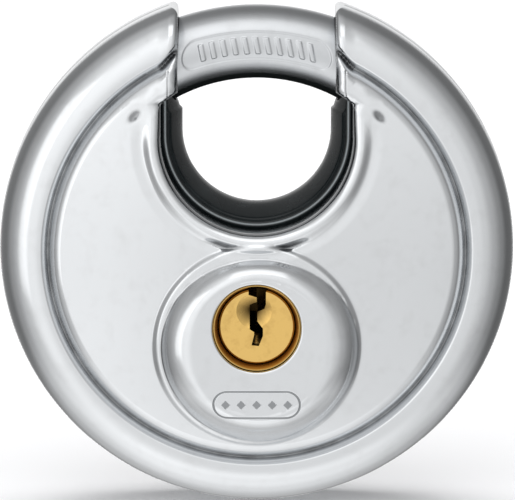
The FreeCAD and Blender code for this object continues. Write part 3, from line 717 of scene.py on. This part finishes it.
# Half of the liner's section: radius from the arch's middle and depth, from the rolled
# lip over the shell's edge to the middle of the liner's inner wall.
LINER_SECTION = [
    (14.0, 6.1), (13.2, 6.1), (12.92, 6.08), (12.78, 6.2), (12.6, 6.31), (12.4, 6.35),
    (12.2, 6.31), (12.05, 6.2), (11.97, 6.02), (11.9, 5.85), (11.78, 5.7), (11.66, 5.62),
    (11.5, 5.3), (11.3, 4.75), (10.95, 3.8), (10.65, 2.8), (10.35, 1.8), (10.17, 0.9),
    (10.1, 0.0),
]
LINER_BACK = [(14.0, 4.9), (12.6, 4.7), (12.6, -4.7), (14.0, -4.9)]
LINER_TOP, LINER_THIN_Z, LINER_THIN = 5.85, 2.8, 0.7


def liner_row(station):
    """Where a station of the liner's run is, and which way its section faces."""
    arch = math.pi * ARCH_R
    if station < LINER_TOP:
        return -1.0, 0.0, ARCH_Z + LINER_TOP - station
    if station < LINER_TOP + arch:
        angle = math.pi + (station - LINER_TOP) / ARCH_R
        return math.cos(angle), math.sin(angle), ARCH_Z
    return 1.0, 0.0, ARCH_Z + station - LINER_TOP - arch


def build_liner():
    """The plastic liner of the gap, thinner at the tops of its legs."""
    front = [(r, -d) for r, d in LINER_SECTION]
    back = [(r, d) for r, d in reversed(LINER_SECTION[:-1])]
    section = front + back + LINER_BACK
    stations = np.linspace(0, 2 * LINER_TOP + math.pi * ARCH_R, 170)
    points = []
    for station in stations:
        out_x, out_z, base_z = liner_row(station)
        for radius, y in section:
            rise = base_z - ARCH_Z - LINER_THIN_Z
            if out_z == 0 and rise > 0 and radius < 12:
                radius += min(0.28 + 0.3 * rise, LINER_THIN) * min(1.0, rise / 0.15)
            x, z = out_x * radius, base_z + out_z * radius
            if out_z == 0:
                z = min(z, leg_top(radius, abs(y)))
            points.append(Vector((x, y, z)) * MM + CENTRE)
    count = len(section)
    faces = grid_faces(len(stations), count, closed=True)
    faces += [tuple(range(count))[::-1], tuple(range(len(points) - count, len(points)))]
    item = mesh_object("gap_liner", points, faces)
    fix_outward(item)
    return item


def leg_top(x, depth):
    """How high the liner may reach: up to the slant in front, under the bar inside."""
    slant = COLLAR_Z + (SLANT_Z - COLLAR_Z) * (x - COLLAR_X) / (ARCH_R - COLLAR_X) - 0.1
    if depth > BAR_HOLE:
        return min(slant, COLLAR_Z) if x > COLLAR_X else COLLAR_Z
    limit = RING - math.sqrt(BAR_HOLE ** 2 - depth ** 2) - 0.05
    return min(slant, math.sqrt(max(limit ** 2 - x ** 2, 0)))


# ---------------------------------------------------------------- materials

def new_material(name, colour, metallic, roughness):
    material = bpy.data.materials.new(name)
    material.use_nodes = True
    shader = material.node_tree.nodes["Principled BSDF"]
    shader.inputs["Base Color"].default_value = (*colour, 1)
    shader.inputs["Metallic"].default_value = metallic
    shader.inputs["Roughness"].default_value = roughness
    return material


def add_node(material, kind, **values):
    """A node with its values set: names of sockets, or properties in lower case."""
    item = material.node_tree.nodes.new(f"ShaderNode{kind}")
    for name, value in values.items():
        socket = name.replace("_", " ").title()
        if socket in item.inputs:
            item.inputs[socket].default_value = value
        else:
            setattr(item, name, value)
    return item


def link(material, source, target):
    material.node_tree.links.new(source, target)


def stretched_place(material, scale=(1, 1, 1)):
    """Object coordinates, stretched by a scale on each axis."""
    place = add_node(material, "TexCoord")
    mapping = add_node(material, "Mapping")
    mapping.inputs["Scale"].default_value = scale
    link(material, place.outputs["Object"], mapping.inputs["Vector"])
    return mapping.outputs["Vector"]


def ramp(material, source, low, high, start=0.0, end=1.0):
    """A value moved from one range to another."""
    item = add_node(material, "MapRange")
    for name, value in (("From Min", start), ("From Max", end), ("To Min", low),
                        ("To Max", high)):
        item.inputs[name].default_value = value
    link(material, source, item.inputs["Value"])
    return item.outputs["Result"]


def noise(material, vector, scale, detail=3.0, rough=0.5):
    item = add_node(material, "TexNoise", scale=scale, detail=detail, roughness=rough)
    link(material, vector, item.inputs["Vector"])
    return item.outputs["Fac"]


def mix_colours(material, factor, first, second):
    item = material.node_tree.nodes.new("ShaderNodeMix")
    item.data_type = "RGBA"
    for socket, value in ((item.inputs[6], first), (item.inputs[7], second)):
        if isinstance(value, tuple):
            socket.default_value = (*value, 1)
        else:
            link(material, value, socket)
    link(material, factor, item.inputs[0])
    return item.outputs[2]


def bump(material, height, distance):
    item = add_node(material, "Bump", distance=distance)
    link(material, height, item.inputs["Height"])
    return item.outputs["Normal"]


def metal(name, colour, dark, rough, grain=0.0000015, scale=(1, 1, 1), wear=0.08):
    """Worked metal: grain along one direction, soft stains and uneven polish."""
    material = new_material(name, colour, 1.0, rough)
    shader = material.node_tree.nodes["Principled BSDF"]
    grain_place = stretched_place(material, scale)
    fine = noise(material, grain_place, 2600, 2.0)
    plain = stretched_place(material)
    broad = noise(material, plain, 55, 4.0, 0.6)
    stain = noise(material, plain, 420, 3.0, 0.65)
    tint = mix_colours(material, ramp(material, stain, 0, 0.7, 0.5, 0.85), colour, dark)
    link(material, tint, shader.inputs["Base Color"])
    uneven = ramp(material, broad, rough - wear / 2, rough + wear, 0.3, 0.75)
    link(material, uneven, shader.inputs["Roughness"])
    link(material, bump(material, fine, grain), shader.inputs["Normal"])
    return material


def recolour_along(material, colour, axis, start, end):
    """Change a material's colour where an axis of the frame runs from start to end."""
    shader = material.node_tree.nodes["Principled BSDF"]
    clean = shader.inputs["Base Color"].links[0].from_socket
    parts = add_node(material, "SeparateXYZ")
    link(material, stretched_place(material), parts.inputs[0])
    share = ramp(material, parts.outputs[axis], 0, 1, start, end)
    link(material, mix_colours(material, share, clean, colour), shader.inputs["Base Color"])


def paint_hollow_shade(material, painted_shade):
    """Painted shade in the hollows of the stamping, patchy along its run."""
    shader = material.node_tree.nodes["Principled BSDF"]
    clean = shader.inputs["Base Color"].links[0].from_socket
    held = add_node(material, "Attribute", attribute_name="painted_shade").outputs["Fac"]
    patchy = ramp(material, noise(material, stretched_place(material), 300),
                  0.6, 0.95, 0.35, 0.65)
    share = add_node(material, "Math", operation="MULTIPLY")
    link(material, held, share.inputs[0])
    link(material, patchy, share.inputs[1])
    mixed = mix_colours(material, share.outputs[0], clean, painted_shade)
    link(material, mixed, shader.inputs["Base Color"])


def paint_liner_reflection(material, reflection_colour, inner, outer):
    """Paint a dark reflection of the black liner on a metal nearer the middle of the disc than
    outer.
    """
    tree = material.node_tree
    shader = tree.nodes["Principled BSDF"]
    place = add_node(material, "TexCoord")
    mapping = add_node(material, "Mapping")
    mapping.inputs["Location"].default_value = -CENTRE
    mapping.inputs["Scale"].default_value = (1, 0, 1)
    link(material, place.outputs["Object"], mapping.inputs["Vector"])
    reach = add_node(material, "VectorMath", operation="LENGTH")
    link(material, mapping.outputs["Vector"], reach.inputs[0])
    share = ramp(material, reach.outputs["Value"], 1, 0, inner, outer)
    # A flat dark coat that stands in for the liner's reflection.
    dark_reflection = add_node(material, "BsdfDiffuse", color=(*reflection_colour, 1))
    both = add_node(material, "MixShader")
    link(material, share, both.inputs[0])
    link(material, shader.outputs[0], both.inputs[1])
    link(material, dark_reflection.outputs[0], both.inputs[2])
    link(material, both.outputs[0], tree.nodes["Material Output"].inputs["Surface"])


def plastic(name, colour, rough):
    """Moulded plastic with a faint grain and a few rubbed places."""
    material = new_material(name, colour, 0.0, rough)
    shader = material.node_tree.nodes["Principled BSDF"]
    place = stretched_place(material)
    grain = noise(material, place, 3200, 2.0)
    rubbed = noise(material, place, 160, 4.0, 0.6)
    lighter = tuple(min(1.0, c * 1.7 + 0.003) for c in colour)
    shader.inputs["Specular IOR Level"].default_value = 0.35
    tint = mix_colours(material, ramp(material, rubbed, 0, 1, 0.5, 0.75), colour, lighter)
    link(material, tint, shader.inputs["Base Color"])
    link(material, ramp(material, rubbed, rough - 0.07, rough + 0.1, 0.3, 0.7),
         shader.inputs["Roughness"])
    link(material, bump(material, grain, 0.000004), shader.inputs["Normal"])
    return material


def dress(item, *looks):
    item.data.materials.clear()
    for material in looks:
        item.data.materials.append(material)


BRASS, BRASS_STAIN = (0.74, 0.49, 0.16), (0.50, 0.30, 0.08)
polished = metal("polished_stainless", (0.66, 0.675, 0.69), (0.60, 0.61, 0.62), 0.17)
ground = metal("ground_stainless", (0.56, 0.575, 0.59), (0.5, 0.51, 0.52), 0.3,
               scale=(0.15, 1, 1))
etched = metal("etched_stainless", (0.30, 0.31, 0.32), (0.24, 0.25, 0.26), 0.45, 0.000004)
black = plastic("black_nylon", (0.007, 0.010, 0.011), 0.24)
pin_brass = metal("machined_brass", BRASS, BRASS_STAIN, 0.27, 0.000003)
plug_brass = metal("plug_brass", BRASS, (0.42, 0.25, 0.07), 0.27, 0.000008)
nose_brass = metal("nose_brass", BRASS, BRASS_STAIN, 0.27, 0.000003)
casting = metal("zinc_casting", (0.42, 0.43, 0.44), (0.3, 0.31, 0.32), 0.5, 0.00001)
tool_steel = metal("tool_steel", (0.4, 0.4, 0.41), (0.26, 0.26, 0.27), 0.38, 0.000004)

# Painted shade in the stamping's hollows, a painted reflection of the liner on the inside of the
# bar, painted shade deep in the keyway and beside the plug, and a painted highlight on the
# liner's lip.
paint_hollow_shade(polished, (0.045, 0.047, 0.05))
paint_liner_reflection(ground, (0.010, 0.012, 0.012), 24.0 * MM, 24.3 * MM)
# Painted shade: the plug's brass turns dark towards the back, deep in the keyway and down its
# sides.
recolour_along(plug_brass, (0.05, 0.03, 0.01), "Y", -11.9 * MM, -10.9 * MM)
# Painted shade: the nose's brass turns brown towards the back, down the bore beside the plug.
recolour_along(nose_brass, (0.28, 0.15, 0.045), "Y", -13.7 * MM, -12.9 * MM)
# Painted highlight: a lighter band along the crest of the liner's lip.
recolour_along(black, (0.30, 0.33, 0.34), "Y", -6.315 * MM, -6.345 * MM)

SLOT_LOOKS = {
    "shell_steel": polished, "shackle_steel": ground, "liner_plastic": black,
    "core_casting": casting, "hardened_plate": tool_steel, "cylinder_brass": nose_brass,
    "plug_brass": plug_brass, "pin_brass": pin_brass, "pin_steel": tool_steel,
    "spring_steel": tool_steel, "drive_steel": tool_steel, "screw_steel": tool_steel,
}
for part in frame["record"]["subparts"]:
    dress(nodes[part["node"]], SLOT_LOOKS[part["material_slot"]])


# ---------------------------------------------------------------- the pieces

def put(item, looks, body, slot, *replaced):
    """Give a piece its looks, the body that it rides on and what it stands for."""
    dress(item, *looks)
    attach(item, body)
    if replaced:
        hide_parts(*replaced)


front_half = build_shell("front_stamping", True)
put(front_half, (polished, etched), "housing", "shell_steel", "front_shell")
mark_etching(front_half)
put(build_shell("rear_stamping", False), (polished,), "housing", "shell_steel", "rear_shell")
put(build_bar(), (ground,), "shackle", "shackle_steel", "shackle")
put(build_liner(), (black,), "housing", "liner_plastic", "opening_liner")


def coil_spring(number):
    """A driver pin's spring, on its own copy of the part's mesh."""
    node = f"pin_spring_{number}"
    item = bpy.data.objects.new(f"coil_spring_{number}", nodes[node].data.copy())
    bpy.context.scene.collection.objects.link(item)
    put(item, (tool_steel,), "housing", "spring_steel", node)
    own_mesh(item)


for number in range(1, 6):
    coil_spring(number)


# ---------------------------------------------------------------- studio

def area_light(name, place, target, width, power, height):
    lamp = bpy.data.lights.new(name, "AREA")
    lamp.energy = power
    lamp.shape = "RECTANGLE"
    lamp.size = width
    lamp.size_y = height
    item = bpy.data.objects.new(name, lamp)
    bpy.context.scene.collection.objects.link(item)
    item.location = place
    item.rotation_euler = (Vector(target) - Vector(place)).to_track_quat("-Z", "Y").to_euler()
    return item


# The tent's levels along three directions, from -1 (against it) to 1, multiplied; and the
# glow of the floor, added.
TENT_STRENGTH = 1.4
TENT = [
    ((0, 1, 0), [(-1, 0.86), (-0.8, 0.93), (-0.45, 0.7), (0, 0.42), (0.4, 0.2), (0.8, 0.2),
                 (1, 0.75)]),
    ((0, 0, 1), [(-1, 0.75), (-0.25, 0.88), (0.2, 1.0), (1, 1.0)]),
    ((1, 0, 0), [(-1, 0.8), (-0.35, 1.12), (0, 0.95), (0.3, 0.9), (0.6, 0.72), (1, 0.6)]),
]
FLOOR_GLOW = [(-1, 0.45), (-0.75, 0.3), (-0.45, 0.0), (1, 0.0)]


def studio_floor():
    """A pale paper floor."""
    low, half = shell_low.z - 0.0004, 6.0
    corners = [(-half, -half, low), (half, -half, low), (half, half, low), (-half, half, low)]
    item = mesh_object("studio_floor", corners, [(0, 1, 2, 3)])
    material = new_material("studio_paper", (0.86, 0.86, 0.87), 0.0, 0.9)
    shader = material.node_tree.nodes["Principled BSDF"]
    place = stretched_place(material)
    tint = mix_colours(material, noise(material, place, 5, 2.0), (0.88, 0.88, 0.89),
                       (0.86, 0.86, 0.87))
    link(material, tint, shader.inputs["Base Color"])
    dress(item, material)
    item.visible_glossy = False


def combine(tree, operation, first, second):
    item = tree.nodes.new("ShaderNodeVectorMath")
    item.operation = operation
    tree.links.new(first, item.inputs[0])
    tree.links.new(second, item.inputs[1])
    return item.outputs["Vector"]


def tent_tone(tree, place, direction, stops):
    """A level for each direction of the tent, by its reach along one direction."""
    along = tree.nodes.new("ShaderNodeVectorMath")
    along.operation = "DOT_PRODUCT"
    along.inputs[1].default_value = direction
    tree.links.new(place, along.inputs[0])
    spread = tree.nodes.new("ShaderNodeMapRange")
    spread.inputs["From Min"].default_value = -1.0
    tree.links.new(along.outputs["Value"], spread.inputs["Value"])
    tone = tree.nodes.new("ShaderNodeValToRGB")
    tone.color_ramp.interpolation = "EASE"
    while len(tone.color_ramp.elements) < len(stops):
        tone.color_ramp.elements.new(0.5)
    for stop, (reach, level) in zip(tone.color_ramp.elements, stops):
        stop.position = (reach + 1) / 2
        stop.color = (level, level, level, 1)
    tree.links.new(spread.outputs["Result"], tone.inputs["Fac"])
    return tone.outputs["Color"]


def studio_world():
    """A light tent: bright in front, dimmer towards the back and the right."""
    background = bpy.data.worlds.new("studio")
    bpy.context.scene.world = background
    background.use_nodes = True
    tree = background.node_tree
    place = tree.nodes.new("ShaderNodeTexCoord").outputs["Generated"]
    light = None
    for direction, stops in TENT:
        tone = tent_tone(tree, place, direction, stops)
        light = tone if light is None else combine(tree, "MULTIPLY", light, tone)
    glow = tent_tone(tree, place, (0, 0, 1), FLOOR_GLOW)
    light = combine(tree, "ADD", light, glow)
    sky = tree.nodes["Background"]
    tree.links.new(light, sky.inputs["Color"])
    sky.inputs["Strength"].default_value = TENT_STRENGTH


def camera():
    """A long lens straight in front, looking down a little."""
    distance, elevation, frame_width, sensor = 0.75, math.radians(9.6), 0.07012, 36
    lens = bpy.data.cameras.new("camera")
    lens.dof.use_dof = False
    lens.sensor_width = sensor
    lens.lens = sensor * distance / frame_width
    lens.clip_end = 10
    target = CENTRE + Vector((0.00011, -0.0045, -0.0001))
    away = Vector((0, -math.cos(elevation), math.sin(elevation)))
    item = bpy.data.objects.new("camera", lens)
    bpy.context.scene.collection.objects.link(item)
    item.location = target + away * distance
    item.rotation_euler = (-away).to_track_quat("-Z", "Y").to_euler()
    bpy.context.scene.camera = item


studio_floor()
studio_world()
camera()
area_light("top_box", (0, -0.30, 0.55), CENTRE, 0.55, 0.45, 0.4)
area_light("left_box", (-0.55, -0.42, 0.05), CENTRE, 0.3, 0.35, 0.6)
wash = area_light("floor_wash", (0, 0.3, 0.6), (0, 0.4, -0.06), 0.5, 4.0, 0.5)
wash.visible_glossy = False
bpy.context.scene.view_settings.view_transform = "Standard"
